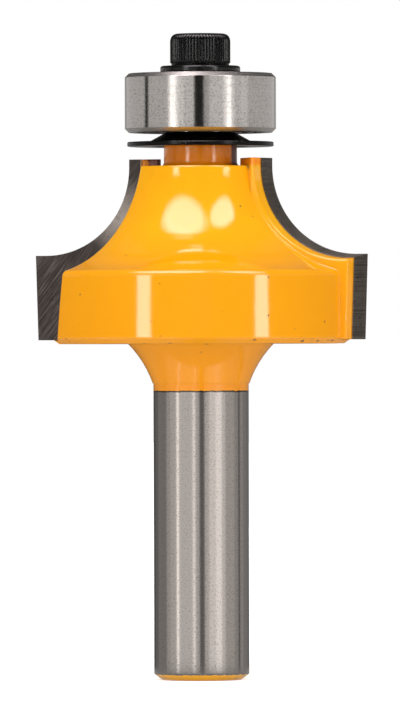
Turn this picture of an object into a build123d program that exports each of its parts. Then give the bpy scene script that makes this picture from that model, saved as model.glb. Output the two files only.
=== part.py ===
from build123d import *

import os
from math import cos, radians, sin, sqrt, tan

# Two-flute round-over router bit with a ball-bearing guide, standing on the end of its shank.
# Millimetres, +Z up. The origin is the centre of the shank's end face, and Z is the spin axis.
# The first cutting wing lies along +X with its rake face towards +Y, and the second is half a turn on.

os.makedirs("parts", exist_ok=True)

# Shank
shank_radius = 6.0
shank_length = 37.3
shank_chamfer_width = 1.0
shank_chamfer_height = 0.75

# Flare from the shank to the rim
flare_step = 0.1
flare_height = 5.0
flare_spread = 3.1
flare_radius = 13.2

# Cutting edge, as it is in the plane of the rake face
cutting_radius = 22.22
profile_radius = 11.1
heel_rise = 11.2
heel_flat = 1.45
edge_straight = 1.0
edge_foot_taper = 0.32

# Turned body: rim, band and bell
band_setback = 2.12
rim_chamfer_width = 0.9
rim_chamfer_height = 0.6
bell_spread = 4.0
bell_gap = 0.95
bell_rise = 1.4
shoulder_rounding = 0.5
ridge_rounding = 0.8

# Cutting wings behind the carbide
wing_count = 2
wing_thickness = 4.35
wing_taper = 3.0
wing_inset = 0.1
wing_foot_height = 0.5
ear_lip = 0.12
ear_end_thickness = 1.2
ear_back_width = 1.4
land_rounding = 0.3
gullet_rounding = 0.4

# Carbide tips, brazed into seats in the wings
rake_offset = 0.45
tip_thickness = 2.5
tip_proud = 0.3
tip_top_width = 1.47
tip_straight = 3.6
tip_foot_width = 8.2
tip_foot_rise = 3.7

# Relief of the cutting edge, in degrees behind the rake face
side_clearance = 19.8
cove_clearance_in = 6.9
cove_clearance_down = 3.2
cove_clearance_taper = 6.2

# Gullets in front of the rake faces
gullet_apex = 2.2
gullet_top_angle = 64.9
gullet_foot_angle = 50.8
gullet_top_root = 3.8
gullet_foot_root = 6.3

# Neck and spigot
neck_radius = 4.6
neck_fillet = 0.6
neck_length = 3.7
neck_chamfer = 0.5
spigot_clearance = 0.025
spigot_setback = 0.35

# Dust shield: a dished washer between the neck and the bearing
shield_sheet = 0.58
shield_setback = 0.305
shield_crown_radius = 4.4
shield_brim_start = 6.55
shield_drop = 1.17
shield_bore_clearance = 0.1
shield_edge_rounding = 0.145

# Ball bearing
bearing_radius = 9.525
bearing_bore_radius = 3.175
bearing_width = 7.45
bearing_chamfer = 0.5
bore_chamfer = 0.25
ball_radius = 1.785
ball_count = 7
race_clearance = 0.02
race_conformity = 1.04
race_shoulder = 1.1
bearing_shield_depth = 0.95
bearing_shield_sheet = 0.3
bearing_shield_gap = 0.12
shield_seat_step = 0.6
snap_ring_section = 0.4
snap_ring_gap = 14.0

# Ball cage: two pressed ribbons riveted together
cage_sheet = 0.32
cage_width = 1.2
pocket_clearance = 0.06
rivet_radius = 0.22
rivet_head_radius = 0.42
rivet_head_height = 0.2

# Washer and cap screw
washer_radius = 5.04
washer_thickness = 0.95
washer_rounding = 0.3
washer_bore_clearance = 0.15
screw_radius = 2.0
screw_length = 9.5
screw_tip_chamfer = 0.4
tapped_hole_clearance = 0.03
tapped_hole_extra = 1.2
drill_point_angle = 118.0
drill_web = 0.3
head_radius = 3.8
head_height = 4.05
head_rounding = 0.5
socket_flats = 3.0
socket_depth = 2.2
socket_chamfer = 0.2

# Heights and places worked out from the sizes above
rim_bottom = shank_length + flare_height
wing_foot = rim_bottom + wing_foot_height
flare_top_radius = shank_radius + flare_step + flare_spread

heel_height = rim_bottom + heel_rise
cove_height = heel_height + profile_radius
cove_center = cutting_radius - heel_flat
edge_top = cove_height + edge_straight

# The bell is a wider arc than the cove, from the shoulder to the ridge over the band.
band_radius = cutting_radius - band_setback
bell_radius = profile_radius + bell_spread
bell_top_x = cove_center - profile_radius - bell_gap
bell_center = bell_top_x + sqrt(bell_radius**2 - bell_rise**2)
ridge_height = cove_height + bell_rise - sqrt(bell_radius**2 - (bell_center - band_radius) ** 2)

neck_top = cove_height + neck_length
groove_radius = neck_radius + neck_fillet
groove_height = cove_height + neck_fillet
ear_inner_radius = groove_radius + neck_fillet - ear_lip

pitch_radius = (bearing_bore_radius + bearing_radius) / 2
shield_radius = bearing_radius - shield_setback
bearing_bottom = neck_top + shield_sheet
bearing_middle = bearing_bottom + bearing_width / 2
bearing_top = bearing_bottom + bearing_width
washer_top = bearing_top + washer_thickness
head_top = washer_top + head_height
spigot_radius = bearing_bore_radius - spigot_clearance
spigot_top = bearing_top - spigot_setback
hole_depth = spigot_top - washer_top + screw_length + tapped_hole_extra

wing_turns = [360 / wing_count * number for number in range(wing_count)]
wing_back = -rake_offset - wing_thickness
gullet_corner = Vector(gullet_apex, -rake_offset - tip_proud)


def wing_plane(turn, depth):
    """Plane behind the radial plane of one wing, its X outwards, its Y up and its normal backwards."""
    return Plane(Location((0, 0, 0), (0, 0, turn)) * Plane.XZ.offset(depth).location)


def side_x(height, depth):
    """Half the cutting width at a height, at a depth behind the rake face."""
    taper = edge_foot_taper * (heel_height - height) / (heel_height - wing_foot)
    return cutting_radius - taper - depth * tan(radians(side_clearance))


def draw_cutting_edge(depth, inset, foot):
    """Draw the relieved cutting edge from its top corner to its foot, moved inwards by inset."""
    radius = profile_radius + depth * tan(radians(cove_clearance_taper)) + inset
    center_x = cove_center - depth * tan(radians(cove_clearance_in))
    center_z = cove_height - depth * tan(radians(cove_clearance_down))
    heel_z = center_z - radius
    top = Vector(center_x - radius, edge_top)
    foot_point = Vector(side_x(foot, depth) - inset, foot)
    Line(top, (top.X, center_z))
    RadiusArc((top.X, center_z), (center_x, heel_z), -radius)
    Polyline((center_x, heel_z), (side_x(heel_z, depth) - inset, heel_z), foot_point)
    return top, foot_point


def draw_tip_outline(depth):
    """Draw a carbide tip's outline in the plane at a depth behind its rake face."""
    top, foot = draw_cutting_edge(depth, 0, wing_foot)
    inner_x = cove_center - profile_radius - tip_top_width
    foot_inner_x = side_x(wing_foot, 0) - tip_foot_width
    Polyline(
        top,
        (inner_x, edge_top),
        (inner_x, edge_top - tip_straight),
        (foot_inner_x, wing_foot + tip_foot_rise),
        (foot_inner_x, wing_foot),
        foot,
    )


def gullet_section(height, wall_angle, root_radius):
    """Section of the first gullet at a height: the rake side, a round floor and the far wall."""
    rake_end = gullet_corner + Vector(2 * cutting_radius, 0)
    wall_end = gullet_corner + Vector(2 * cutting_radius, 0).rotate(Axis.Z, wall_angle)
    with BuildSketch(Plane.XY.offset(height)) as section:
        with BuildLine():
            FilletPolyline(rake_end, gullet_corner, wall_end, radius=root_radius)
            Line(wall_end, rake_end)
        make_face()
    return section.sketch


def gullet_walls():
    """The far wall of each gullet on the body as it stands, found just past its round floor."""
    reach = gullet_foot_root / tan(radians(gullet_foot_angle / 2)) + gullet_rounding
    spot = gullet_corner + Vector(reach, 0).rotate(Axis.Z, gullet_foot_angle)
    spot += Vector(0, 0, rim_bottom + rim_chamfer_height)
    return [
        bit_body.faces().sort_by_distance(spot.rotate(Axis.Z, turn))[0]
        for turn in wing_turns
    ]


# Carbide tips: the cutting edge's outline, relieved behind the rake face
carbide_tips = []
for number, turn in enumerate(wing_turns, start=1):
    with BuildPart() as carbide_tip:
        for depth in (0, tip_thickness):
            with BuildSketch(wing_plane(turn, rake_offset + depth)):
                with BuildLine():
                    draw_tip_outline(depth)
                make_face()
        loft(ruled=True)
    carbide_tip.part.label = f"carbide_tip_{number}"
    carbide_tips.append(carbide_tip.part)
    export_step(carbide_tip.part, f"parts/carbide_tip_{number}.step")

# Steel of one cutting wing: the relieved outline, thinner towards its heel, whose top stands above
# the shoulder as an ear. Its back edges are rounded over, and the gullet trims its front.
with BuildPart() as wing_blank:
    for depth in (0, wing_thickness):
        with BuildSketch(Plane.XZ.offset(rake_offset + depth)):
            with BuildLine():
                top, foot = draw_cutting_edge(depth, wing_inset, wing_foot)
                Polyline(top, (0, top.Y), (0, foot.Y), foot)
            make_face()
    loft(ruled=True)
    with BuildSketch():
        ear_back_x = cove_center - profile_radius - ear_back_width
        heel_back_y = wing_back + (cutting_radius - ear_back_x) * tan(radians(wing_taper))
        with BuildLine():
            Polyline(
                (ear_inner_radius, 0),
                (ear_inner_radius, -ear_end_thickness),
                (ear_back_x, wing_back),
                (cutting_radius, heel_back_y),
                (cutting_radius, 0),
                (ear_inner_radius, 0),
            )
        make_face()
    extrude(amount=edge_top, mode=Mode.INTERSECT)
    back = wing_blank.faces().sort_by(Axis.Y)[0]
    fillet(back.edges().sort_by(Axis.X)[2:].sort_by(Axis.Z)[1:], land_rounding)

# Bit body: shank, flare, turned bell and wings in one piece of steel
with BuildPart() as bit_body:
    with BuildSketch(Plane.XZ) as blank_section:
        with BuildLine():
            Polyline(
                (0, spigot_top),
                (0, 0),
                (shank_radius - shank_chamfer_width, 0),
                (shank_radius, shank_chamfer_height),
                (shank_radius, shank_length),
                (shank_radius + flare_step, shank_length),
            )
            RadiusArc(
                (shank_radius + flare_step, shank_length),
                (flare_top_radius, rim_bottom),
                flare_radius,
            )
            Polyline(
                (flare_top_radius, rim_bottom),
                (band_radius - rim_chamfer_width, rim_bottom),
                (band_radius, rim_bottom + rim_chamfer_height),
                (band_radius, ridge_height),
            )
            RadiusArc((band_radius, ridge_height), (bell_top_x, cove_height), bell_radius)
            Polyline(
                (bell_top_x, cove_height),
                (groove_radius, cove_height),
                (groove_radius, groove_height),
                (neck_radius, groove_height),
                (neck_radius, neck_top - neck_chamfer),
                (neck_radius - neck_chamfer, neck_top),
                (spigot_radius, neck_top),
                (spigot_radius, spigot_top),
                (0, spigot_top),
            )
        make_face()
        corners = blank_section.vertices()
        fillet(corners.sort_by_distance((band_radius, ridge_height))[0], ridge_rounding)
        fillet(corners.sort_by_distance((bell_top_x, cove_height))[0], shoulder_rounding)
    revolve(axis=Axis.Z)

    with PolarLocations(0, wing_count):
        add(wing_blank.part)

    # The gullets run through from above the ears to below the rim, and their floors lean outwards.
    gullet_sections = (
        gullet_section(edge_top, gullet_top_angle, gullet_top_root),
        gullet_section(rim_bottom, gullet_foot_angle, gullet_foot_root),
    )
    for turn in wing_turns:
        loft(
            [section.rotate(Axis.Z, turn) for section in gullet_sections],
            ruled=True,
            mode=Mode.SUBTRACT,
        )

    # The far wall of each gullet is rounded over where it meets the turned surface.
    for wall in gullet_walls():
        rounded = wall.edges().sort_by(SortBy.LENGTH)[:-1].sort_by(Axis.Z)[2:-1]
        fillet(rounded, gullet_rounding)

    # A round-bottomed groove parts the ears from the neck.
    with BuildSketch(Plane.XZ):
        with Locations((groove_radius, groove_height)):
            Circle(neck_fillet)
        with Locations((neck_radius, groove_height)):
            Rectangle(
                ear_inner_radius - neck_radius,
                2 * neck_fillet,
                align=(Align.MIN, Align.MIN),
            )
    revolve(axis=Axis.Z, mode=Mode.SUBTRACT)

    # The tips lie in open seats, cut clear in front of their rake faces.
    for turn, tip in zip(wing_turns, carbide_tips):
        add(tip, mode=Mode.SUBTRACT)
        with BuildSketch(wing_plane(turn, rake_offset)):
            with BuildLine():
                draw_tip_outline(0)
            make_face()
        extrude(amount=-2 * tip_proud, mode=Mode.SUBTRACT)

    # Tapped blind hole for the screw
    with BuildSketch(Plane.XZ):
        with BuildLine():
            hole_floor = spigot_top - hole_depth
            hole_radius = screw_radius + tapped_hole_clearance
            hole_point = hole_floor - (hole_radius - drill_web) / tan(radians(drill_point_angle / 2))
            Polyline(
                (0, spigot_top),
                (hole_radius, spigot_top),
                (hole_radius, hole_floor),
                (drill_web, hole_point),
                (0, hole_point),
                (0, spigot_top),
            )
        make_face()
    revolve(axis=Axis.Z, mode=Mode.SUBTRACT)
bit_body.part.label = "bit_body"
export_step(bit_body.part, "parts/bit_body.step")

# Dust shield: a dished sheet washer whose crown lies under the bearing
with BuildPart() as dust_shield:
    with BuildSketch(Plane.XZ):
        with BuildLine():
            shield_bore = spigot_radius + shield_bore_clearance
            crown = Polyline(
                (shield_bore, bearing_bottom),
                (shield_crown_radius, bearing_bottom),
                (shield_brim_start, bearing_bottom - shield_drop),
                (shield_radius, bearing_bottom - shield_drop),
            )
            offset(crown, amount=shield_sheet, side=Side.RIGHT, kind=Kind.INTERSECTION)
        make_face()
    revolve(axis=Axis.Z)
    rims = dust_shield.edges().filter_by(GeomType.CIRCLE).group_by(SortBy.RADIUS)[-1]
    fillet(rims, shield_edge_rounding)
dust_shield.part.label = "dust_shield"
export_step(dust_shield.part, "parts/dust_shield.step")

# Bearing rings: each has a round ball groove, and the outer one a step at each end for its shield
inner_race = pitch_radius - ball_radius - race_clearance
outer_race = pitch_radius + ball_radius + race_clearance
groove_section = ball_radius * race_conformity
shield_seat_radius = pitch_radius + race_shoulder + shield_seat_step

with BuildPart() as inner_ring:
    with BuildSketch(Plane.XZ) as ring_section:
        with Locations((bearing_bore_radius, bearing_bottom)):
            Rectangle(
                pitch_radius - race_shoulder - bearing_bore_radius,
                bearing_width,
                align=(Align.MIN, Align.MIN),
            )
        chamfer(ring_section.vertices().group_by(Axis.X)[0], bore_chamfer)
        with Locations((inner_race + groove_section, bearing_middle)):
            Circle(groove_section, mode=Mode.SUBTRACT)
    revolve(axis=Axis.Z)
inner_ring.part.label = "bearing_inner_ring"
export_step(inner_ring.part, "parts/bearing_inner_ring.step")

with BuildPart() as outer_ring:
    with BuildSketch(Plane.XZ) as ring_section:
        with Locations((pitch_radius + race_shoulder, bearing_bottom)):
            Rectangle(
                bearing_radius - pitch_radius - race_shoulder,
                bearing_width,
                align=(Align.MIN, Align.MIN),
            )
        chamfer(ring_section.vertices().group_by(Axis.X)[-1], bearing_chamfer)
        with Locations((outer_race - groove_section, bearing_middle)):
            Circle(groove_section, mode=Mode.SUBTRACT)
        for end, side in ((bearing_bottom, Align.MIN), (bearing_top, Align.MAX)):
            with Locations((pitch_radius + race_shoulder, end)):
                Rectangle(
                    shield_seat_step,
                    bearing_shield_depth,
                    align=(Align.MIN, side),
                    mode=Mode.SUBTRACT,
                )
    revolve(axis=Axis.Z)
outer_ring.part.label = "bearing_outer_ring"
export_step(outer_ring.part, "parts/bearing_outer_ring.step")

# Balls, numbered from +X
for number in range(ball_count):
    with BuildPart() as ball:
        turn = radians(360 / ball_count * number)
        with Locations((pitch_radius * cos(turn), pitch_radius * sin(turn), bearing_middle)):
            Sphere(ball_radius)
    ball.part.label = f"ball_{number + 1}"
    export_step(ball.part, f"parts/ball_{number + 1}.step")

# Cage: two ribbons with a round pocket over each ball, riveted together between the balls
cage_inner_radius = pitch_radius - cage_width / 2
cage_outer_radius = pitch_radius + cage_width / 2
pocket_radius = ball_radius + pocket_clearance
ball_spots = PolarLocations(pitch_radius, ball_count)
rivet_spots = PolarLocations(pitch_radius, ball_count, start_angle=180 / ball_count)

for name, direction in (("cage_lower_half", -1), ("cage_upper_half", 1)):
    with BuildPart() as cage_half:
        with BuildSketch():
            Circle(cage_outer_radius)
            Circle(cage_inner_radius, mode=Mode.SUBTRACT)
        extrude(amount=direction * cage_sheet)
        with ball_spots:
            Sphere(pocket_radius + cage_sheet)
        with BuildSketch():
            Circle(cage_outer_radius)
            Circle(cage_inner_radius, mode=Mode.SUBTRACT)
        extrude(amount=direction * 2 * ball_radius, mode=Mode.INTERSECT)
        with ball_spots:
            Sphere(pocket_radius, mode=Mode.SUBTRACT)
        with rivet_spots:
            Hole(rivet_radius)
    placed = cage_half.part.moved(Location((0, 0, bearing_middle)))
    placed.label = name
    export_step(placed, f"parts/{name}.step")

with BuildPart() as cage_rivets:
    with BuildSketch(Plane.XY.offset(bearing_middle - cage_sheet)):
        with rivet_spots:
            Circle(rivet_radius)
    extrude(amount=2 * cage_sheet)
    for face, out in ((bearing_middle + cage_sheet, 1), (bearing_middle - cage_sheet, -1)):
        with BuildSketch(Plane.XY.offset(face)):
            with rivet_spots:
                Circle(rivet_head_radius)
        extrude(amount=out * rivet_head_height)
cage_rivets.part.label = "cage_rivets"
export_step(cage_rivets.part, "parts/cage_rivets.step")

# Sheet shields in the outer ring's steps, each held by a split snap ring
shield_inner_radius = pitch_radius - race_shoulder + bearing_shield_gap
ends = (
    ("lower", bearing_bottom + bearing_shield_depth, -1),
    ("upper", bearing_top - bearing_shield_depth, 1),
)
for end, seat, out in ends:
    with BuildPart() as bearing_shield:
        with BuildSketch(Plane.XY.offset(seat)):
            Circle(shield_seat_radius)
            Circle(shield_inner_radius, mode=Mode.SUBTRACT)
        extrude(amount=out * bearing_shield_sheet)
    bearing_shield.part.label = f"bearing_shield_{end}"
    export_step(bearing_shield.part, f"parts/bearing_shield_{end}.step")

    with BuildPart() as snap_ring:
        with BuildSketch(Plane.XY.offset(seat + out * bearing_shield_sheet)):
            Circle(shield_seat_radius)
            Circle(shield_seat_radius - snap_ring_section, mode=Mode.SUBTRACT)
            with BuildLine():
                mouth = Vector(bearing_radius, 0)
                Polyline(
                    (0, 0),
                    mouth.rotate(Axis.Z, snap_ring_gap / 2),
                    mouth.rotate(Axis.Z, -snap_ring_gap / 2),
                    (0, 0),
                )
            make_face(mode=Mode.SUBTRACT)
        extrude(amount=out * snap_ring_section)
    snap_ring.part.label = f"snap_ring_{end}"
    export_step(snap_ring.part, f"parts/snap_ring_{end}.step")

# Flat washer over the inner ring
with BuildPart() as flat_washer:
    with BuildSketch(Plane.XY.offset(bearing_top)):
        Circle(washer_radius)
        Circle(screw_radius + washer_bore_clearance, mode=Mode.SUBTRACT)
    extrude(amount=washer_thickness)
    rims = flat_washer.edges().filter_by(GeomType.CIRCLE).group_by(SortBy.RADIUS)[-1]
    fillet(rims, washer_rounding)
flat_washer.part.label = "flat_washer"
export_step(flat_washer.part, "parts/flat_washer.step")

# Socket head cap screw, its thread left plain
with BuildPart() as cap_screw:
    with BuildSketch(Plane.XY.offset(washer_top)):
        Circle(head_radius)
    extrude(amount=head_height)
    fillet(cap_screw.edges().group_by(Axis.Z)[-1], head_rounding)
    with BuildSketch(Plane.XY.offset(head_top)):
        RegularPolygon(socket_flats / 2, 6, major_radius=False)
    extrude(amount=-socket_depth, mode=Mode.SUBTRACT)
    chamfer(cap_screw.faces().sort_by(Axis.Z)[-1].inner_wires()[0].edges(), socket_chamfer)
    with BuildSketch(Plane.XY.offset(washer_top)):
        Circle(screw_radius)
    extrude(amount=-screw_length)
    chamfer(cap_screw.edges().group_by(Axis.Z)[0], screw_tip_chamfer)
cap_screw.part.label = "cap_screw"
export_step(cap_screw.part, "parts/cap_screw.step")
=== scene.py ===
from math import cos, floor, pi, radians, sin

import bmesh
import bpy
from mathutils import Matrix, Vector


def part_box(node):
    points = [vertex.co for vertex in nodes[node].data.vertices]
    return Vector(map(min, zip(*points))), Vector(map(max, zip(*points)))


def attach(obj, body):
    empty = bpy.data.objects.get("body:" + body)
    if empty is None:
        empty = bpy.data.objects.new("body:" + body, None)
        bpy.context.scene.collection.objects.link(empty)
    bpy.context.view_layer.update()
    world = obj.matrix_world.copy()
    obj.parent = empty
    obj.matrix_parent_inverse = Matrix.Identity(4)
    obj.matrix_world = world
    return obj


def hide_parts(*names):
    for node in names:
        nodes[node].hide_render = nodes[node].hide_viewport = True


# Round-over router bit on a pale floor. Metres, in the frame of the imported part: +Z is the spin axis.
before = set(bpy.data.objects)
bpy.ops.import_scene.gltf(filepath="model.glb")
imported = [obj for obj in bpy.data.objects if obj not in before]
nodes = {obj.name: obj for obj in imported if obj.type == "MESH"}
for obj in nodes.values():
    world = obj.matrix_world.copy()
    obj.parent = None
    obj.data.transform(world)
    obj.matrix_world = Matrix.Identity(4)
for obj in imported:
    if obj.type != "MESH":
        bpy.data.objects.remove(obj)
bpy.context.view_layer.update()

MM = 0.001

# Photograph: its scale, its slight roll, and where the axis and the floor line fall in it
IMAGE_WIDTH = 400
IMAGE_HEIGHT = 715
PIXELS_PER_MM = 7.94
FLOOR_ROW = 679.6
AXIS_COLUMN = 201.0
ROLL = radians(-0.15)

# Camera: level, at the height of the picture's middle
CAMERA_AZIMUTH = radians(18.7)
CAMERA_DISTANCE = 1.133
SENSOR = 36.0
CLIP_END = 20.0

# Heights of the part that its finishes follow
PAINT_FOOT = 0.72 * MM
PAINT_TOP = 36.4 * MM
RIM_BOTTOM = 42.3 * MM
RIDGE = 51.4 * MM
SHOULDER = 64.6 * MM

# Carbide tips: how far the rake face lies behind the radial plane and stands before its steel, and the
# inner outline beside that steel, in millimetres
RAKE_OFFSET = 0.45 * MM
TIP_PROUD = 0.3 * MM
TIP_INNER = ((8.2, 65.5), (8.2, 62.0), (13.7, 46.5), (13.7, 43.1))


# Shader building blocks

def new_material(name, metallic=0.0, roughness=0.5):
    """A material with one Principled shader, its node tree and that shader."""
    material = bpy.data.materials.new(name)
    material.use_nodes = True
    tree = material.node_tree
    shader = tree.nodes["Principled BSDF"]
    shader.inputs["Metallic"].default_value = metallic
    shader.inputs["Roughness"].default_value = roughness
    return material, tree, shader


def set_input(tree, socket, value):
    """Link a socket to an input, or write a number or colour on it."""
    if isinstance(value, bpy.types.NodeSocket):
        tree.links.new(value, socket)
    else:
        socket.default_value = value


def add_node(tree, kind, values=None, **settings):
    """Add a node, with its settings and its inputs."""
    node = tree.nodes.new(kind)
    for name, value in settings.items():
        setattr(node, name, value)
    for key, value in (values or {}).items():
        set_input(tree, node.inputs[key], value)
    return node


def calculate(tree, operation, *values):
    """A number worked out from others."""
    return add_node(tree, "ShaderNodeMath", dict(enumerate(values)), operation=operation).outputs[0]


def multiply(tree, first, second):
    return calculate(tree, "MULTIPLY", first, second)


def add_up(tree, first, *others):
    for other in others:
        first = calculate(tree, "ADD", first, other)
    return first


def magnitude(tree, value):
    return calculate(tree, "ABSOLUTE", value)


def blend_colors(tree, factor, first, second):
    """The first colour where the factor is 0, the second where it is 1."""
    # A mix node has inputs of one name for numbers and for colours, so they go by their places
    node = add_node(tree, "ShaderNodeMix", data_type="RGBA", blend_type="MIX")
    for key, value in ((0, factor), (6, first), (7, second)):
        set_input(tree, node.inputs[key], value)
    return node.outputs[2]


def blend_numbers(tree, factor, first, second):
    return add_node(tree, "ShaderNodeMix", {0: factor, 2: first, 3: second}).outputs[0]


def ramp(tree, value, low, high, start=0.0, end=1.0):
    """Map low..high onto start..end, clamped."""
    values = {"Value": value, "From Min": low, "From Max": high, "To Min": start, "To Max": end}
    return add_node(tree, "ShaderNodeMapRange", values).outputs["Result"]


def spread(tree, texture, start, end):
    """Map the middle of a noise, where most of it lies, onto start..end."""
    return ramp(tree, texture, 0.3, 0.7, start, end)


def band(tree, value, low, high, soft):
    """One between low and high, falling to nothing over a soft margin outside."""
    return multiply(tree, ramp(tree, value, low - soft, low), ramp(tree, value, high + soft, high))


def noise(tree, vector, scale=1.0, detail=2.0, roughness=0.5):
    """Clouds between 0 and 1."""
    values = {"Vector": vector, "Scale": scale, "Detail": detail, "Roughness": roughness}
    return add_node(tree, "ShaderNodeTexNoise", values).outputs["Fac"]


def specks(tree, vector, scale, share, size):
    """Round spots, in a share of the cells of a grid: 1 in a spot, 0 outside. Size is in cells."""
    cells = add_node(tree, "ShaderNodeTexVoronoi", {"Vector": vector, "Scale": scale})
    chance = add_node(tree, "ShaderNodeSeparateColor", {0: cells.outputs["Color"]}).outputs[0]
    radius = ramp(tree, chance, share, 0.0, 0.0, size)
    return calculate(tree, "LESS_THAN", cells.outputs["Distance"], radius)


def stretch(tree, vector, scale, turn=0.0):
    """Turn a vector about Y, then scale it along its axes, to draw a texture out."""
    turned = add_node(tree, "ShaderNodeMapping", {"Vector": vector, "Rotation": (0.0, turn, 0.0)})
    values = {"Vector": turned.outputs["Vector"], "Scale": scale}
    return add_node(tree, "ShaderNodeMapping", values).outputs["Vector"]


def position(tree):
    """Place on the part, in metres."""
    return add_node(tree, "ShaderNodeTexCoord").outputs["Object"]


def facing(tree):
    """The surface's own direction."""
    return add_node(tree, "ShaderNodeTexCoord").outputs["Normal"]


def components(tree, vector):
    """The x, y and z of a vector."""
    return tuple(add_node(tree, "ShaderNodeSeparateXYZ", {0: vector}).outputs)


def vector_length(tree, vector):
    return add_node(tree, "ShaderNodeVectorMath", {0: vector}, operation="LENGTH").outputs["Value"]


def bump(tree, height, distance, normal=None):
    """Normal that shows a relief, on top of another normal where one is given."""
    values = {"Height": height, "Distance": distance}
    if normal is not None:
        values["Normal"] = normal
    return add_node(tree, "ShaderNodeBump", values).outputs["Normal"]


def soften(tree, radius, samples):
    """Normal that rounds edges and corners over a radius."""
    return add_node(tree, "ShaderNodeBevel", {"Radius": radius}, samples=samples).outputs["Normal"]


def color(red, green, blue):
    """A linear colour."""
    return (red, green, blue, 1.0)


def dress(material, names):
    """Give CAD nodes one material on all their faces."""
    for name in names:
        slots = nodes[name].data.materials
        slots.clear()
        slots.append(material)
        for polygon in nodes[name].data.polygons:
            polygon.material_index = 0


# Noise of turned and ground lines, in every finish that has them
LINE_NOISE = {"detail": 3.0, "roughness": 0.6}

# Painted steel: colours of the paint, with painted light at the foot, of what lies on it, of painted shade
# in its hollows, and of the bare steel
FLARE_PAINT = color(0.95, 0.355, 0.004)
BAND_PAINT = color(0.95, 0.378, 0.004)
BELL_PAINT = color(0.95, 0.440, 0.004)
THIN_PAINT = color(0.96, 0.36, 0.006)
NECK_PAINT = color(1.0, 0.315, 0.008)
NECK_PATCHES = color(0.97, 0.265, 0.006)
# Painted light: the foot's paint is lighter, against the shade near the floor
FOOT_PAINT_AND_PAINTED_LIGHT = color(1.0, 0.50, 0.012)
# Painted shade: the dark brown of the ears' recess
EAR_RECESS_PAINTED_SHADE = color(0.12, 0.022, 0.006)
# Painted shade: the dark of the corner at the foot of the neck
NECK_CORNER_PAINTED_SHADE = color(0.05, 0.018, 0.006)
PIT = color(0.055, 0.022, 0.008)
SHANK_STEEL = color(0.390, 0.357, 0.333)
SHANK_RINGS = color(0.410, 0.378, 0.355)
SHANK_GRAIN = color(0.24, 0.21, 0.19)
STAIN = color(0.05, 0.032, 0.012)

# Painted steel: its textures, with scales in features to the metre
RAGGED_LINE = {"scale": 1500.0, "detail": 4.0, "roughness": 0.6}
PAINT_CLOUDS = {"scale": 160.0}
NECK_CLOUDS = {"scale": 420.0, "detail": 4.0}
FRAYED_EDGE = {"scale": 1400.0}
PITS = {"scale": 800.0, "share": 0.5, "size": 0.105}
CHIPS = {"scale": 900.0, "share": 0.7, "size": 0.26}
CHIP_FLATTENING = (1.0, 1.0, 1.6)
SHANK_RING_SCALE = (60.0, 60.0, 9000.0)
GRAIN = {"scale": 5200.0}
GLOSS_CLOUDS = {"scale": 900.0}
PEEL = {"scale": 1500.0, "detail": 1.0}
WAVES = {"scale": 260.0, "detail": 0.0}

# Painted steel: gloss
STEEL_ROUGHNESS = (0.12, 0.17)
PAINT_ROUGHNESS = (0.06, 0.10)
PIT_ROUGHNESS = 0.5
EAR_RECESS_SHADE_ROUGHNESS = 0.42

# Painted steel: edges of the paint, and where each tone starts and is full
PAINT_RAGGEDNESS = 0.10 * MM
PAINT_EDGE = 0.01 * MM
BELL_TONE = (RIDGE, RIDGE + 5 * MM)
NECK_TONE = (SHOULDER - 0.1 * MM, SHOULDER + 0.3 * MM)
FOOT_TONE = (2 * PAINT_FOOT, PAINT_FOOT)
# Where the ears' recess is painted darker as shade
EAR_SHADE_FROM_RAKE = (1.3 * MM, 0.9 * MM)
EAR_SHADE_HEIGHT = (SHOULDER - 1.5 * MM, SHOULDER + 0.2 * MM)
EAR_SHADE_INWARD = (7.6 * MM, 6.9 * MM)
EAR_SHADE_FRAY = 0.5 * MM
# Where the corner at the foot of the neck is painted darker as shade
NECK_CORNER_SHADE_REACH = 1.1 * MM
NECK_CORNER_SHADE_IN_HOLLOW = (0.62, 0.25)
NECK_CORNER_SHADE_HEIGHT = (SHOULDER - 0.6 * MM, SHOULDER - 0.1 * MM)
MARK_STRENGTH = 0.85
STAIN_STRENGTH = 0.85

# Painted steel: bands round the part, each with its bottom, top and soft margin
CHIPPED = (RIM_BOTTOM - 0.05 * MM, RIM_BOTTOM + 0.5 * MM, 0.1 * MM)
STAINED = (PAINT_TOP - 0.16 * MM, PAINT_TOP, 0.05 * MM)
TURNED = (52.6 * MM, 55.4 * MM, 0.9 * MM)

# Painted steel: relief, with depths in millimetres, and the turned lines at the foot of the bell
PEEL_DEPTH = 0.0022
WAVE_DEPTH = 0.022
TURNED_DEPTH = 0.006
TURNED_PITCH = 1.35 * MM
PIT_DEPTH = 0.03
PAINT_THICKNESS = 0.05
SCRATCH_DEPTH = 0.0002
CORNER_ROUNDING = 0.45 * MM


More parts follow.
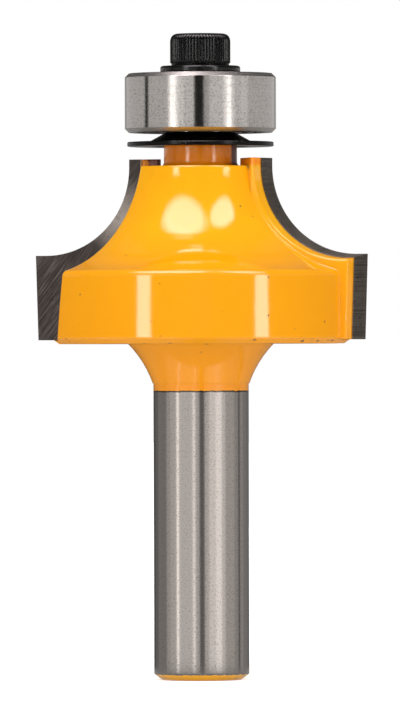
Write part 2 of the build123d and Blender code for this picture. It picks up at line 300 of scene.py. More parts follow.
def painted_steel():
    """Gloss yellow-orange paint over ground steel, which shows bare on the shank."""
    material, tree, shader = new_material("painted_steel")
    place = position(tree)
    x, y, z = components(tree, place)

    # Where the paint lies: above a ragged line on the shank, and on the chamfer at its end
    ragged = ramp(tree, noise(tree, place, **RAGGED_LINE), 0.2, 0.8, -PAINT_RAGGEDNESS, PAINT_RAGGEDNESS)
    height = add_up(tree, z, ragged)
    above_shank = ramp(tree, height, PAINT_TOP - PAINT_EDGE, PAINT_TOP + PAINT_EDGE)
    at_foot = ramp(tree, height, PAINT_FOOT + PAINT_EDGE, PAINT_FOOT - PAINT_EDGE)
    paint = calculate(tree, "MAXIMUM", above_shank, at_foot)

    # Paint colour: yellower where it lies thick, on the bell; at the foot lighter and yellower still, as
    # painted light against the floor's shade; orange on flare and neck
    paint_color = blend_colors(tree, ramp(tree, z, PAINT_TOP, RIDGE), FLARE_PAINT, BAND_PAINT)
    paint_color = blend_colors(tree, ramp(tree, z, *BELL_TONE), paint_color, BELL_PAINT)
    clouds = ramp(tree, noise(tree, place, **PAINT_CLOUDS), 0.35, 0.7, 0.0, 0.35)
    paint_color = blend_colors(tree, clouds, paint_color, THIN_PAINT)
    neck_clouds = ramp(tree, noise(tree, place, **NECK_CLOUDS), 0.35, 0.65)
    neck_color = blend_colors(tree, neck_clouds, NECK_PAINT, NECK_PATCHES)
    paint_color = blend_colors(tree, ramp(tree, z, *NECK_TONE), paint_color, neck_color)
    # Painted light: the foot is made lighter, against the shade near the floor
    paint_color = blend_colors(tree, ramp(tree, z, *FOOT_TONE), paint_color, FOOT_PAINT_AND_PAINTED_LIGHT)

    # Painted shade: the ears' rake side, in the recess of the gullet, is darkened to brown, most towards
    # the axis
    near_rake = ramp(tree, magnitude(tree, y), *EAR_SHADE_FROM_RAKE)
    on_ear = ramp(tree, z, *EAR_SHADE_HEIGHT)
    frayed = spread(tree, noise(tree, place, **FRAYED_EDGE), -EAR_SHADE_FRAY, EAR_SHADE_FRAY)
    inward = ramp(tree, add_up(tree, magnitude(tree, x), frayed), *EAR_SHADE_INWARD, 0.25, 1.0)
    ear_recess_shade = multiply(tree, multiply(tree, near_rake, on_ear), inward)
    paint_color = blend_colors(tree, ear_recess_shade, paint_color, EAR_RECESS_PAINTED_SHADE)

    # Painted shade in the corner at the foot of the neck, darker where ambient occlusion finds a hollow
    hollow = add_node(tree, "ShaderNodeAmbientOcclusion", {"Distance": NECK_CORNER_SHADE_REACH}, samples=8)
    neck_corner_shade = multiply(tree, ramp(tree, hollow.outputs["AO"], *NECK_CORNER_SHADE_IN_HOLLOW),
                     ramp(tree, z, *NECK_CORNER_SHADE_HEIGHT))
    paint_color = blend_colors(tree, neck_corner_shade, paint_color, NECK_CORNER_PAINTED_SHADE)

    # Dark pits, and chips along the lower edge of the rim
    chips = specks(tree, stretch(tree, place, CHIP_FLATTENING), **CHIPS)
    chips = multiply(tree, chips, band(tree, z, *CHIPPED))
    marks = calculate(tree, "MAXIMUM", specks(tree, place, **PITS), chips)
    paint_color = blend_colors(tree, multiply(tree, marks, MARK_STRENGTH), paint_color, PIT)

    # Bare steel: warm grey, with turned lines round the shank and a stain along the paint's edge
    rings = noise(tree, stretch(tree, place, SHANK_RING_SCALE), **LINE_NOISE)
    grain = noise(tree, place, **GRAIN)
    steel_color = blend_colors(tree, spread(tree, rings, 0.0, 1.0), SHANK_STEEL, SHANK_RINGS)
    steel_color = blend_colors(tree, ramp(tree, grain, 0.53, 0.68, 0.0, 0.55), steel_color, SHANK_GRAIN)
    stain = multiply(tree, band(tree, height, *STAINED), STAIN_STRENGTH)
    steel_color = blend_colors(tree, stain, steel_color, STAIN)

    tree.links.new(blend_colors(tree, paint, steel_color, paint_color), shader.inputs["Base Color"])
    tree.links.new(calculate(tree, "SUBTRACT", 1.0, paint), shader.inputs["Metallic"])
    dull = calculate(tree, "MAXIMUM", multiply(tree, marks, PIT_ROUGHNESS),
                     multiply(tree, ear_recess_shade, EAR_RECESS_SHADE_ROUGHNESS))
    gloss = spread(tree, noise(tree, place, **GLOSS_CLOUDS), *PAINT_ROUGHNESS)
    rough = blend_numbers(tree, paint, spread(tree, grain, *STEEL_ROUGHNESS),
                          calculate(tree, "MAXIMUM", gloss, dull))
    tree.links.new(rough, shader.inputs["Roughness"])

    # Relief: orange peel and slow waves in the paint, and turned lines at the foot of the bell
    peel = multiply(tree, noise(tree, place, **PEEL), PEEL_DEPTH)
    waves = multiply(tree, noise(tree, place, **WAVES), WAVE_DEPTH)
    turned = calculate(tree, "SINE", multiply(tree, z, 2 * pi / TURNED_PITCH))
    turned = multiply(tree, turned, band(tree, z, *TURNED))
    turned = multiply(tree, turned, TURNED_DEPTH)
    dents = multiply(tree, marks, -PIT_DEPTH)
    in_paint = add_up(tree, add_up(tree, peel, waves), add_up(tree, turned, dents))
    in_paint = multiply(tree, in_paint, paint)
    bare = calculate(tree, "MULTIPLY_ADD", paint, -SCRATCH_DEPTH, SCRATCH_DEPTH)
    relief = add_up(tree, in_paint, multiply(tree, paint, PAINT_THICKNESS), multiply(tree, rings, bare))
    tree.links.new(bump(tree, relief, MM, soften(tree, CORNER_ROUNDING, 8)), shader.inputs["Normal"])
    return material


# Carbide: colours of the rake face, darkened as painted shade and with a painted highlight, of the ground
# edges, lighter upward as painted light, and of what lies on both
RAKE_PAINTED_SHADE_DARK = color(0.025, 0.020, 0.018)
RAKE_PAINTED_SHADE_LIGHT = color(0.062, 0.053, 0.048)
RAKE_SCRATCHES = color(0.150, 0.132, 0.120)
RAKE_GROOVES = color(0.010, 0.008, 0.008)
# Painted highlight: the lighter patch on the rake face
RAKE_PAINTED_HIGHLIGHT = color(0.38, 0.345, 0.31)
EDGE_DARK = color(0.105, 0.090, 0.075)
EDGE_LIGHT = color(0.205, 0.180, 0.152)
# Painted light: upward ground faces lighter, as they face the light above
EDGE_UPWARD_PAINTED_LIGHT = color(0.30, 0.270, 0.235)
CARBIDE_CLOUD = color(0.04, 0.033, 0.028)
CARBIDE_PIT = color(0.018, 0.015, 0.013)

# Carbide: its textures, gloss and relief, and where a highlight is painted on the rake face
FINE_LINE_SCALE = (260.0, 1.0, 5200.0)
FINE_LINE_TURN = radians(-52)
FINE_LINES = {"detail": 4.0, "roughness": 0.62}
BROAD_LINE_SCALE = (90.0, 1.0, 1300.0)
BROAD_LINE_TURN = radians(-50)
LEVEL_LINE_SCALE = (120.0, 120.0, 6500.0)
CARBIDE_CLOUDS = {"scale": 900.0, "detail": 4.0, "roughness": 0.6}
CARBIDE_PITS = {"scale": 2600.0, "share": 0.5, "size": 0.42}
PITTED_AREAS = {"scale": 260.0}
CARBIDE_ROUGHNESS = (0.36, 0.50)
LINE_DEPTH = 0.006
CARBIDE_PIT_DEPTH = 0.02
RAKE_HIGHLIGHT_SPOT = (11.0 * MM, 0.0, 58.5 * MM)
RAKE_HIGHLIGHT_REACH = (5.0 * MM, 0.8 * MM)
RAKE_HIGHLIGHT_STRENGTH = 0.62


def carbide():
    """Dark sintered carbide, ground with slanting lines on the rake face and level ones round the edge."""
    material, tree, shader = new_material("carbide", metallic=1.0)
    place = position(tree)
    x, _, z = components(tree, place)
    _, normal_y, normal_z = components(tree, facing(tree))
    on_rake = ramp(tree, multiply(tree, calculate(tree, "SIGN", x), normal_y), 0.8, 0.9)

    # Both rake faces have the same lines, which climb towards the axis
    flat = add_node(tree, "ShaderNodeCombineXYZ", {0: magnitude(tree, x), 2: z}).outputs[0]
    fine_lines = noise(tree, stretch(tree, flat, FINE_LINE_SCALE, FINE_LINE_TURN), **FINE_LINES)
    broad_lines = noise(tree, stretch(tree, flat, BROAD_LINE_SCALE, BROAD_LINE_TURN), **LINE_NOISE)
    level_lines = noise(tree, stretch(tree, place, LEVEL_LINE_SCALE), **LINE_NOISE)
    clouds = noise(tree, place, **CARBIDE_CLOUDS)
    pitted = multiply(tree, specks(tree, place, **CARBIDE_PITS),
                      ramp(tree, noise(tree, place, **PITTED_AREAS), 0.47, 0.60))

    # Painted shade: the rake face's colours are far darker than the ground edges'
    rake_color = blend_colors(tree, ramp(tree, broad_lines, 0.35, 0.66), RAKE_PAINTED_SHADE_DARK, RAKE_PAINTED_SHADE_LIGHT)
    scratches = ramp(tree, fine_lines, 0.50, 0.70, 0.0, 0.75)
    rake_color = blend_colors(tree, scratches, rake_color, RAKE_SCRATCHES)
    grooves = ramp(tree, fine_lines, 0.44, 0.30, 0.0, 0.6)
    rake_color = blend_colors(tree, grooves, rake_color, RAKE_GROOVES)
    # Painted highlight: a lighter patch in the middle of the rake face
    away = add_node(tree, "ShaderNodeVectorMath", {0: flat, 1: RAKE_HIGHLIGHT_SPOT}, operation="DISTANCE")
    rake_painted_highlight = ramp(tree, away.outputs["Value"], *RAKE_HIGHLIGHT_REACH, 0.0, RAKE_HIGHLIGHT_STRENGTH)
    rake_color = blend_colors(tree, rake_painted_highlight, rake_color, RAKE_PAINTED_HIGHLIGHT)

    edge_color = blend_colors(tree, ramp(tree, level_lines, 0.35, 0.68), EDGE_DARK, EDGE_LIGHT)
    # Painted light: ground faces are lighter the more they face upward
    edge_color = blend_colors(tree, ramp(tree, normal_z, 0.15, 0.6, 0.0, 0.8), edge_color, EDGE_UPWARD_PAINTED_LIGHT)
    base = blend_colors(tree, on_rake, edge_color, rake_color)
    base = blend_colors(tree, ramp(tree, clouds, 0.55, 0.75, 0.0, 0.35), base, CARBIDE_CLOUD)
    base = blend_colors(tree, multiply(tree, pitted, 0.8), base, CARBIDE_PIT)
    tree.links.new(base, shader.inputs["Base Color"])
    tree.links.new(spread(tree, broad_lines, *CARBIDE_ROUGHNESS), shader.inputs["Roughness"])

    lines = blend_numbers(tree, on_rake, level_lines, fine_lines)
    relief = add_up(tree, multiply(tree, lines, LINE_DEPTH), multiply(tree, pitted, -CARBIDE_PIT_DEPTH))
    tree.links.new(bump(tree, relief, MM), shader.inputs["Normal"])
    return material


# Ground steels: name, colour, colour of lines and specks, roughness, lines to the metre, and the first
# letters of the nodes that have it
GROUND_STEELS = (
    ("bearing_steel", color(0.51, 0.485, 0.465), color(0.24, 0.215, 0.195), 0.11, 8000.0,
     ("bearing_inner", "bearing_outer")),
    ("shield_steel", color(0.44, 0.42, 0.40), color(0.27, 0.25, 0.23), 0.22, 8000.0,
     ("bearing_shield", "snap_ring")),
    ("ball_steel", color(0.62, 0.61, 0.60), color(0.50, 0.49, 0.48), 0.06, 900.0, ("ball_",)),
    ("cage_steel", color(0.46, 0.43, 0.38), color(0.30, 0.27, 0.22), 0.26, 900.0, ("cage_",)),
)

# Ground steels: textures, gloss and relief
LINE_STRETCH = 70.0
SPECKLE = {"scale": 4200.0, "detail": 3.0, "roughness": 0.6}
STEEL_SPOTS = {"scale": 1300.0, "share": 0.45, "size": 0.16}
STEEL_SPOT = color(0.06, 0.05, 0.04)
ROUGHNESS_SPREAD = (-0.03, 0.04)
CHAMFER_ROUGHNESS = 0.20
GROUND_LINE_DEPTH = 0.0004
SPECKLE_DEPTH = 0.0030
GROUND_EDGE_ROUNDING = 0.08 * MM


def ground_steel(name, base, dark, roughness, line_scale):
    """Ground or lapped steel with fine lines round the spin axis and a speckle."""
    material, tree, shader = new_material(name, metallic=1.0)
    place = position(tree)
    lines = noise(tree, stretch(tree, place, (LINE_STRETCH, LINE_STRETCH, line_scale)), **LINE_NOISE)
    speckle = noise(tree, place, **SPECKLE)
    base_color = blend_colors(tree, ramp(tree, lines, 0.35, 0.7, 0.0, 0.15), base, dark)
    base_color = blend_colors(tree, ramp(tree, speckle, 0.52, 0.66, 0.0, 0.55), base_color, dark)
    spots = specks(tree, place, **STEEL_SPOTS)
    base_color = blend_colors(tree, multiply(tree, spots, 0.7), base_color, STEEL_SPOT)
    tree.links.new(base_color, shader.inputs["Base Color"])

    # The turned chamfers are rougher than the lapped rounds
    slope = magnitude(tree, components(tree, facing(tree))[2])
    chamfer = ramp(tree, slope, 0.3, 0.6, 0.0, CHAMFER_ROUGHNESS)
    smoother, rougher = ROUGHNESS_SPREAD
    round_part = spread(tree, speckle, roughness + smoother, roughness + rougher)
    tree.links.new(add_up(tree, round_part, chamfer), shader.inputs["Roughness"])
    relief = add_up(tree, multiply(tree, lines, GROUND_LINE_DEPTH), multiply(tree, speckle, SPECKLE_DEPTH))
    rounded = soften(tree, GROUND_EDGE_ROUNDING, 4)
    tree.links.new(bump(tree, relief, MM, rounded), shader.inputs["Normal"])
    return material


# Black oxide: colours, textures, gloss and relief
OXIDE_DARK = color(0.0012, 0.0011, 0.0011)
OXIDE_LIGHT = color(0.0045, 0.0041, 0.0038)
# Grey of the edge specks: partly real scuffs, partly painted glints
OXIDE_SCUFF_AND_GLINT = color(0.42, 0.39, 0.36)
OXIDE_CLOUDS = {"scale": 700.0, "detail": 4.0, "roughness": 0.6}
OXIDE_GRAIN = {"scale": 3800.0, "detail": 3.0, "roughness": 0.65}
OXIDE_DUST = {"scale": 2600.0, "share": 0.12, "size": 0.22}
OXIDE_ROUGHNESS = (0.14, 0.27)
OXIDE_GRAIN_DEPTH = 0.004
OXIDE_CLOUD_DEPTH = 0.016
OXIDE_EDGE_ROUNDING = 0.07 * MM


def black_oxide(name, scuff_and_glint_share, index):
    """Oiled black steel: near black, mottled, with grey scuffs on its edges that also stand in as painted
    glints. Index is its IOR.
    """
    material, tree, shader = new_material(name)
    shader.inputs["IOR"].default_value = index
    place = position(tree)
    clouds = noise(tree, place, **OXIDE_CLOUDS)
    grain = noise(tree, place, **OXIDE_GRAIN)

    # Edges are where the rounded normal leaves the true one
    rounded = soften(tree, OXIDE_EDGE_ROUNDING, 6)
    true_normal = add_node(tree, "ShaderNodeNewGeometry").outputs["True Normal"]
    turn = add_node(tree, "ShaderNodeVectorMath", {0: rounded, 1: true_normal}, operation="DOT_PRODUCT")
    edge = ramp(tree, turn.outputs["Value"], 0.97, 0.82)
    # Grey specks on the edges and dust specks: partly real scuffs, partly painted glints
    edge_scuffs_and_glints = multiply(tree, edge, ramp(tree, grain, 0.60, 0.68))
    dust = multiply(tree, specks(tree, place, **OXIDE_DUST), 0.7)
    scuffs_and_glints = multiply(tree, calculate(tree, "MAXIMUM", edge_scuffs_and_glints, dust), scuff_and_glint_share)

    base = blend_colors(tree, ramp(tree, clouds, 0.35, 0.7), OXIDE_DARK, OXIDE_LIGHT)
    tree.links.new(blend_colors(tree, scuffs_and_glints, base, OXIDE_SCUFF_AND_GLINT), shader.inputs["Base Color"])
    tree.links.new(multiply(tree, scuffs_and_glints, 0.6), shader.inputs["Metallic"])
    tree.links.new(spread(tree, clouds, *OXIDE_ROUGHNESS), shader.inputs["Roughness"])
    relief = add_up(tree, multiply(tree, grain, OXIDE_GRAIN_DEPTH),
                    multiply(tree, clouds, OXIDE_CLOUD_DEPTH))
    tree.links.new(bump(tree, relief, MM, rounded), shader.inputs["Normal"])
    return material


# Braze: colours, texture, gloss and relief
BRAZE_DARK = color(0.52, 0.42, 0.27)
BRAZE_LIGHT = color(0.78, 0.70, 0.55)
BRAZE_LUMPS = {"scale": 1100.0, "detail": 3.0}
BRAZE_ROUGHNESS = (0.32, 0.55)
LUMP_DEPTH = 0.05 * MM


def braze_metal():
    """Silver braze: pale, lumpy and dull."""
    material, tree, shader = new_material("braze_metal", metallic=0.8)
    lumps = noise(tree, position(tree), **BRAZE_LUMPS)
    base = blend_colors(tree, ramp(tree, lumps, 0.35, 0.65), BRAZE_DARK, BRAZE_LIGHT)
    tree.links.new(base, shader.inputs["Base Color"])
    tree.links.new(spread(tree, lumps, *BRAZE_ROUGHNESS), shader.inputs["Roughness"])
    tree.links.new(bump(tree, lumps, LUMP_DEPTH), shader.inputs["Normal"])
    return material


oxide_material = black_oxide("black_oxide", scuff_and_glint_share=0.8, index=1.42)
dress(painted_steel(), ["bit_body"])
dress(carbide(), ["carbide_tip_1", "carbide_tip_2"])
for name, base, dark, roughness, line_scale, starts in GROUND_STEELS:
    steel = ground_steel(name, base, dark, roughness, line_scale)
    dress(steel, [node for node in nodes if node.startswith(starts)])
dress(black_oxide("black_plate", scuff_and_glint_share=0.2, index=1.27), ["dust_shield"])
dress(oxide_material, ["flat_washer", "cap_screw"])


# Pieces built here

SHARP_ANGLE = radians(38)


def add_piece(name, build, material, body):
    """Make a mesh piece from what build puts into a bmesh, shade it smooth, and let it ride."""
    bm = bmesh.new()
    build(bm)
    bmesh.ops.recalc_face_normals(bm, faces=bm.faces)
    mesh = bpy.data.meshes.new(name)
    bm.to_mesh(mesh)
    bm.free()
    piece = bpy.data.objects.new(name, mesh)
    bpy.context.scene.collection.objects.link(piece)
    mesh.materials.append(material)
    mesh.shade_smooth()
    mesh.set_sharp_from_angle(angle=SHARP_ANGLE)
    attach(piece, body)
    return piece


def skin_rings(bm, rings):
    """Join rings of vertices, each with as many, into one closed surface, capped at its ends."""
    for lower, upper in zip(rings, rings[1:]):
        for number in range(len(lower)):
            following = (number + 1) % len(lower)
            bm.faces.new((lower[number], lower[following], upper[following], upper[number]))
    bm.faces.new(reversed(rings[0]))
    bm.faces.new(rings[-1])


def ring_surface(bm, rows, segments):
    """Skin a surface of rows, each a function from an angle to a radius and height."""
    rings = []
    for row in rows:
        ring = []
        for number in range(segments):
            angle = 2 * pi * number / segments
            radius, height = row(angle)
            ring.append(bm.verts.new((radius * cos(angle), radius * sin(angle), height)))
        rings.append(ring)
    skin_rings(bm, rings)


# Cap screw: its sizes, as the CAD screw has them
SCREW_LOW, SCREW_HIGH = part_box("cap_screw")
SCREW_TIP = SCREW_LOW[2]
HEAD_TOP = SCREW_HIGH[2]
HEAD_BOTTOM = HEAD_TOP - 4.05 * MM
HEAD_RADIUS = SCREW_HIGH[0]
SOCKET_FLATS = 3.0 * MM
SOCKET_DEPTH = 2.2 * MM
THREAD_RADIUS = 2.0 * MM

# Cap screw: its knurl and its thread
KNURLS = 56
KNURL_DEPTH = 0.22 * MM
KNURL_SEGMENTS = 6
THREAD_PITCH = 0.7 * MM
THREAD_DEPTH = 0.38 * MM
THREAD_SEGMENTS = 48
ROWS_PER_PITCH = 8
TIP_RUN_OUT = 0.6 * MM
HEAD_RUN_OUT = 0.8 * MM
TIP_CHAMFER = 0.4 * MM
SHANK_OVERLAP = 0.02 * MM


def knurled_head(bm):
    """Head with a straight knurl, rounded rim and hexagon socket."""
    def plain(radius, height):
        return lambda angle: (radius, height)

    def knurled(inset, height, depth):
        """A row of grooves, some of them a little shallower."""
        def row(angle):
            phase = angle * KNURLS / (2 * pi)
            nick = 0.6 + 0.4 * sin(7 * angle + 1.3 * sin(3 * angle))
            groove = abs(2 * (phase - floor(phase)) - 1) ** 1.6
            return HEAD_RADIUS - inset - depth * (0.75 + 0.25 * nick) * groove, height
        return row

    def hexagon(flats, height):
        def row(angle):
            turn = (angle % (pi / 3)) - pi / 6
            return flats / 2 / cos(turn), height
        return row

    # From the bearing face up the side, round the rim and down into the socket
    rows = [
        plain(THREAD_RADIUS * 0.9, HEAD_BOTTOM),
        plain(HEAD_RADIUS - 0.35 * MM, HEAD_BOTTOM),
        plain(HEAD_RADIUS - 0.16 * MM, HEAD_BOTTOM + 0.08 * MM),
        plain(HEAD_RADIUS - 0.14 * MM, HEAD_BOTTOM + 0.28 * MM),
        knurled(0.0, HEAD_BOTTOM + 0.42 * MM, KNURL_DEPTH * 0.8),
        knurled(0.0, HEAD_BOTTOM + 0.7 * MM, KNURL_DEPTH),
        knurled(0.0, HEAD_TOP - 0.95 * MM, KNURL_DEPTH),
        knurled(0.03 * MM, HEAD_TOP - 0.72 * MM, KNURL_DEPTH),
        knurled(0.12 * MM, HEAD_TOP - 0.46 * MM, KNURL_DEPTH * 0.8),
        knurled(0.26 * MM, HEAD_TOP - 0.25 * MM, KNURL_DEPTH * 0.45),
        plain(HEAD_RADIUS - 0.47 * MM, HEAD_TOP - 0.09 * MM),
        plain(HEAD_RADIUS - 0.72 * MM, HEAD_TOP),
        plain(SOCKET_FLATS / 2 / cos(pi / 6) + 0.25 * MM, HEAD_TOP),
        hexagon(SOCKET_FLATS + 0.3 * MM, HEAD_TOP - 0.03 * MM),
        hexagon(SOCKET_FLATS, HEAD_TOP - 0.22 * MM),
        hexagon(SOCKET_FLATS, HEAD_TOP - SOCKET_DEPTH),
        plain(0.3 * MM, HEAD_TOP - SOCKET_DEPTH - 0.35 * MM),
    ]
    ring_surface(bm, rows, KNURLS * KNURL_SEGMENTS)


def threaded_shank(bm):
    """Shank of the screw with its helical thread, run out under the head and at the tip."""
    top = HEAD_BOTTOM + SHANK_OVERLAP
    steps = int((top - SCREW_TIP) / THREAD_PITCH * ROWS_PER_PITCH)

    def threaded(height):
        def row(angle):
            turn = (height - SCREW_TIP) / THREAD_PITCH - angle / (2 * pi)
            crest = abs(2 * (turn - floor(turn)) - 1)
            fade = min(1.0, (height - SCREW_TIP) / TIP_RUN_OUT, max(0.0, (top - height) / HEAD_RUN_OUT))
            core = THREAD_RADIUS - THREAD_DEPTH * fade * (1 - crest)
            taper = max(0.0, TIP_CHAMFER - (height - SCREW_TIP))
            return core - taper, height
        return row

    rows = [threaded(SCREW_TIP + (top - SCREW_TIP) * step / steps) for step in range(steps + 1)]
    ring_surface(bm, rows, THREAD_SEGMENTS)


def screw(bm):
    knurled_head(bm)
    threaded_shank(bm)


screw_piece = add_piece("cap_screw_knurled", screw, oxide_material, "root")
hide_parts("cap_screw")

# Braze beads: leg, length of a step along them, how far they bite into tip and steel, and height at most
BEAD_LEG = 0.26 * MM
BEAD_STEP = 0.25 * MM
BEAD_IN_TIP = 0.06 * MM
BEAD_IN_STEEL = 0.05 * MM
BEAD_HEIGHT = 0.27 * MM


def braze_bead(turn):
    """Builder of a bead of braze in the corner between a tip's inner side and the steel of its wing."""
    points = [Vector((x * MM, 0, z * MM)) for x, z in TIP_INNER]
    route = []
    for start, end in zip(points, points[1:]):
        count = max(2, int((end - start).length / BEAD_STEP))
        route.extend(start.lerp(end, number / count) for number in range(count))
    route.append(points[-1])
    steel_y = -RAKE_OFFSET - TIP_PROUD

    def build(bm):
        rings = []
        for number, point in enumerate(route):
            # Two waves make the bead swell and shrink along its way
            leg = BEAD_LEG * (1.0 + 0.22 * sin(number * 0.9) + 0.14 * sin(number * 2.3 + 1.0))
            # Level section: the corner, out along the steel, up a hollow face and onto the tip
            corners = (
                (point.x + BEAD_IN_TIP, steel_y - BEAD_IN_STEEL),
                (point.x - leg, steel_y - 0.02 * MM),
                (point.x - leg * 0.55, steel_y + leg * 0.30),
                (point.x - leg * 0.15, steel_y + leg * 0.75),
                (point.x + BEAD_IN_TIP, steel_y + min(leg, BEAD_HEIGHT)),
            )
            ring = []
            for x, y in corners:
                ring.append(bm.verts.new((x * cos(turn) - y * sin(turn),
                                          x * sin(turn) + y * cos(turn), point.z)))
            rings.append(ring)
        skin_rings(bm, rings)
    return build


braze = braze_metal()
for number in (1, 2):
    add_piece(f"braze_bead_{number}", braze_bead(pi * (number - 1)), braze, "root")


# Stage, camera and lights

FLOOR_SIZE = 6.0
FLOOR_COLOR = color(0.8, 0.8, 0.8)
WHITE = color(1.0, 1.0, 1.0)
BLACK = color(0.0, 0.0, 0.0)

# Floor: its glow near the object, where it keeps the shadow, and the distances from the axis between
# which that rises to white
GLOW_NEAR = 0.45
GLOW_START = 0.03
GLOW_END = 0.30

# World: its light on the object, where 1 is the white that it shows
WORLD_LIGHT = 0.42


def out_from_axis(azimuth, elevation):
    """Unit vector from the object towards a camera or lamp. Azimuth 0 is seen looking along +Y."""
    return Vector((sin(azimuth) * cos(elevation), -cos(azimuth) * cos(elevation), sin(elevation)))


def shown_background(tree):
    """1 for the rays that see the background: from the camera, or by reflection or refraction."""
    rays = add_node(tree, "ShaderNodeLightPath").outputs
    mirrored = calculate(tree, "MAXIMUM", rays["Is Glossy Ray"], rays["Is Transmission Ray"])
    return calculate(tree, "MAXIMUM", rays["Is Camera Ray"], mirrored)


def add_floor():
    """A pale floor that keeps the object's shadow and turns white away from it."""
    bpy.ops.mesh.primitive_plane_add(size=FLOOR_SIZE, location=(0, 0, 0))
    floor_plane = bpy.context.object
    floor_plane.name = "floor"
    material, tree, shader = new_material("floor", roughness=0.9)
    shader.inputs["Base Color"].default_value = FLOOR_COLOR
    shader.inputs["Specular IOR Level"].default_value = 0.0
    shader.inputs["Emission Color"].default_value = WHITE
    distance = vector_length(tree, position(tree))
    glow = ramp(tree, distance, GLOW_START, GLOW_END, GLOW_NEAR, 1.0)
    tree.links.new(multiply(tree, shown_background(tree), glow), shader.inputs["Emission Strength"])
    floor_plane.data.materials.append(material)


def set_world():
    """A world that shows white and lights the object less."""
    world = bpy.data.worlds.new("studio")
    bpy.context.scene.world = world
    world.use_nodes = True
    tree = world.node_tree
    background = tree.nodes["Background"]
    background.inputs["Color"].default_value = WHITE
    strength = ramp(tree, shown_background(tree), 0.0, 1.0, WORLD_LIGHT, 1.0)
    tree.links.new(strength, background.inputs["Strength"])


def add_camera():
    """The photograph's camera, from its scale and where the axis and the floor line fall in it."""
    camera_data = bpy.data.cameras.new("camera")
    camera = bpy.data.objects.new("camera", camera_data)
    bpy.context.scene.collection.objects.link(camera)
    camera_data.sensor_width = SENSOR
    camera_data.sensor_fit = "AUTO"
    camera_data.lens = SENSOR / IMAGE_HEIGHT * PIXELS_PER_MM * CAMERA_DISTANCE / MM
    camera_data.clip_end = CLIP_END
    back = out_from_axis(CAMERA_AZIMUTH, 0.0)
    right = Vector((cos(CAMERA_AZIMUTH), sin(CAMERA_AZIMUTH), 0))
    aim = Vector((0, 0, (FLOOR_ROW - IMAGE_HEIGHT / 2) / PIXELS_PER_MM * MM))
    aim -= right * (AXIS_COLUMN - IMAGE_WIDTH / 2) / PIXELS_PER_MM * MM
    camera.location = aim + back * CAMERA_DISTANCE
    camera.rotation_euler = back.to_track_quat("Z", "Y").to_euler()
    camera.rotation_euler.rotate_axis("Z", ROLL)
    bpy.context.scene.camera = camera


# Lamps: the point they face, the colours gloss mirrors of them, the evenly bright share of a panel, and
# the sides of a round one
LAMP_CENTER = Vector((0, 0, 50 * MM))
PANEL_WHITE = color(1.0, 0.985, 0.97)
KEY_TINT = color(1.0, 0.92, 0.95)
PANEL_CORE = 0.66
ROUND_STEPS = 48

# Cards: degrees to a step, and height of the card over the floor
CARD_STEP = 4
TABLE_CARD_LEVEL = 0.2 * MM


def add_reflected(name, bm, brightness, tint=PANEL_WHITE):
    """A stage object that only reflections show, glowing evenly."""
    mesh = bpy.data.meshes.new(name)
    bm.to_mesh(mesh)
    bm.free()
    card = bpy.data.objects.new(name, mesh)
    bpy.context.scene.collection.objects.link(card)
    material, tree, shader = new_material(name, roughness=1.0)
    shader.inputs["Base Color"].default_value = BLACK
    shader.inputs["Specular IOR Level"].default_value = 0.0
    shader.inputs["Emission Color"].default_value = tint
    shader.inputs["Emission Strength"].default_value = brightness
    mesh.materials.append(material)
    card.visible_camera = False
    card.visible_diffuse = False
    card.visible_shadow = False
    card.visible_transmission = False
    return card, tree, shader


def flat_face(corners, width, height, level):
    """A bmesh with one level face, from corners that are given for a width and height of 2."""
    bm = bmesh.new()
    bm.faces.new([bm.verts.new((x * width / 2, y * height / 2, level)) for x, y in corners])
    return bm


SQUARE = ((-1, -1), (1, -1), (1, 1), (-1, 1))
CIRCLE = [(cos(2 * pi * step / ROUND_STEPS), sin(2 * pi * step / ROUND_STEPS))
          for step in range(ROUND_STEPS)]


def add_softbox(name, azimuth, elevation, distance, width, height, radiance, brightness, outline, tint):
    """A lamp facing the object, and the soft-edged panel that gloss mirrors in its place."""
    is_round = outline is CIRCLE
    direction = out_from_axis(CAMERA_AZIMUTH + radians(azimuth), radians(elevation))
    place = LAMP_CENTER + direction * distance
    turn = direction.to_track_quat("Z", "Y").to_euler()
    lamp = bpy.data.lights.new(name, "AREA")
    lamp.shape = "ELLIPSE" if is_round else "RECTANGLE"
    lamp.size = width
    lamp.size_y = height
    lamp.energy = radiance * pi * width * height * (pi / 4 if is_round else 1.0)
    box = bpy.data.objects.new(name, lamp)
    bpy.context.scene.collection.objects.link(box)
    box.location = place
    box.rotation_euler = turn
    box.visible_camera = False
    box.visible_glossy = False

    face = flat_face(outline, width, height, 0.0)
    panel, tree, shader = add_reflected(f"{name}_panel", face, brightness, tint)
    panel.location = place
    panel.rotation_euler = turn
    inside = stretch(tree, position(tree), (2 / width, 2 / height, 1.0))
    if is_round:
        reach = vector_length(tree, inside)
    else:
        across, along, _ = components(tree, inside)
        reach = calculate(tree, "MAXIMUM", magnitude(tree, across), magnitude(tree, along))
    glow = ramp(tree, reach, 1.0, PANEL_CORE, 0.0, brightness)
    tree.links.new(glow, shader.inputs["Emission Strength"])


def add_card(name, start, end, bottom, top, radius, brightness):
    """A curved card that only reflections show, from one azimuth to another."""
    bm = bmesh.new()
    steps = max(1, int(abs(end - start) / CARD_STEP))
    columns = []
    for step in range(steps + 1):
        azimuth = CAMERA_AZIMUTH + radians(start + (end - start) * step / steps)
        foot = out_from_axis(azimuth, 0.0) * radius
        columns.append([bm.verts.new((foot.x, foot.y, height)) for height in (bottom, top)])
    for left, right in zip(columns, columns[1:]):
        bm.faces.new((left[0], right[0], right[1], left[1]))
    add_reflected(name, bm, brightness)


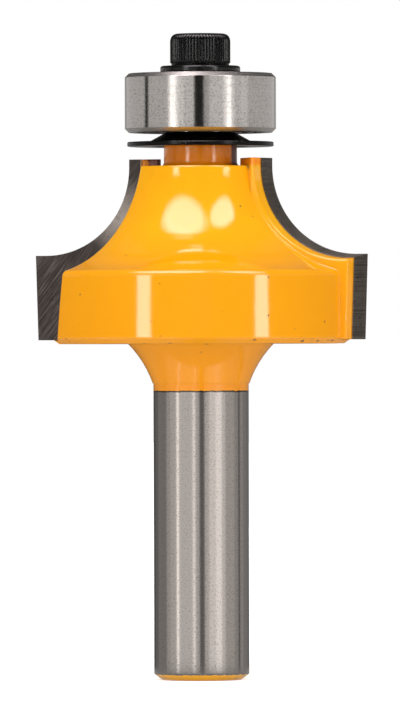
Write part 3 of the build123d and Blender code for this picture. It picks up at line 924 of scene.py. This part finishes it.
def add_dome(radius, brightness):
    """A dim tent round the studio, which only reflections show, so that gloss paint keeps its colour."""
    bm = bmesh.new()
    bmesh.ops.create_uvsphere(bm, u_segments=32, v_segments=16, radius=radius)
    add_reflected("dome", bm, brightness)


def add_table_card(radius, brightness):
    """A dim disc just over the floor, which only reflections show."""
    add_reflected("table_card", flat_face(CIRCLE, 2 * radius, 2 * radius, TABLE_CARD_LEVEL), brightness)


# Softboxes: name, azimuth from the camera's to the right and elevation in degrees, distance, width,
# height, radiance on the object, brightness that gloss mirrors, outline and tint
SOFTBOXES = (
    ("strip_left", -41, 7, 0.9, 0.19, 0.50, 4.6, 8.9, SQUARE, PANEL_WHITE),
    ("strip_right", 44, 7, 0.9, 0.19, 0.50, 4.6, 8.9, SQUARE, PANEL_WHITE),
    ("front_fill", 0, 4, 1.0, 0.40, 0.40, 2.0, 0.13, SQUARE, PANEL_WHITE),
    ("key_left", -36, 62, 1.0, 0.88, 0.90, 2.15, 9.6, CIRCLE, KEY_TINT),
    ("key_right", 43, 56, 1.0, 0.50, 0.68, 2.5, 9.6, CIRCLE, KEY_TINT),
    ("rear_left", -140, 50, 1.2, 0.5, 0.5, 2.6, 0.16, SQUARE, PANEL_WHITE),
    ("rear_right", 140, 50, 1.2, 0.5, 0.5, 2.6, 0.16, SQUARE, PANEL_WHITE),
    ("back_fill", 180, 12, 1.0, 0.7, 0.5, 1.4, 0.13, SQUARE, PANEL_WHITE),
)

# Dome and table card: radius and brightness
DOME = (1.8, 0.13)
TABLE_CARD = (1.5, 0.42)

# Cards that the bearing mirrors and, below, the shank: start and end azimuth from the camera's, and
# brightness
HIGH_CARDS = (
    (-180, -150, 0.42), (-150, -91, 0.70), (-91, -84, 0.03), (-84, -49, 0.74), (-49, -46, 1.2),
    (-46, -38, 2.1), (-38, -34, 1.45), (-34, -24, 1.12), (-24, -9, 0.92), (-9, 5, 0.01),
    (5, 13, 0.62), (13, 34, 0.96), (34, 40, 1.25), (40, 46, 2.1), (46, 52, 1.1), (52, 62, 0.86),
    (62, 75, 0.98), (75, 150, 0.72), (150, 180, 0.42),
)
LOW_CARDS = (
    (-180, -137, 0.11), (-137, -119, 0.22), (-119, -86, 0.36), (-86, -74, 0.67), (-74, -57, 0.84),
    (-57, -51, 2.20), (-51, -19, 1.02), (-19, -13, 1.80), (-13, -4, 0.86), (-4, 7, 0.20),
    (7, 17, 0.92), (17, 32, 1.35), (32, 46, 1.75), (46, 55, 1.12), (55, 80, 0.72), (80, 93, 0.54),
    (93, 99, 0.16), (99, 113, 0.52), (113, 129, 0.36), (129, 150, 0.24), (150, 180, 0.14),
)

# Rings of cards: name, cards, heights of their lower and upper edges, and radius
CARD_RINGS = (
    ("high_card", HIGH_CARDS, 69 * MM, 86 * MM, 140 * MM),
    ("low_card", LOW_CARDS, 0.3 * MM, 41 * MM, 32 * MM),
)

add_floor()
set_world()
add_camera()
add_dome(*DOME)
add_table_card(*TABLE_CARD)
for softbox in SOFTBOXES:
    add_softbox(*softbox)
for name, cards, bottom, top, radius in CARD_RINGS:
    for number, (start, end, brightness) in enumerate(cards):
        add_card(f"{name}_{number}", start, end, bottom, top, radius, brightness)

bpy.context.scene.view_settings.view_transform = "Standard"
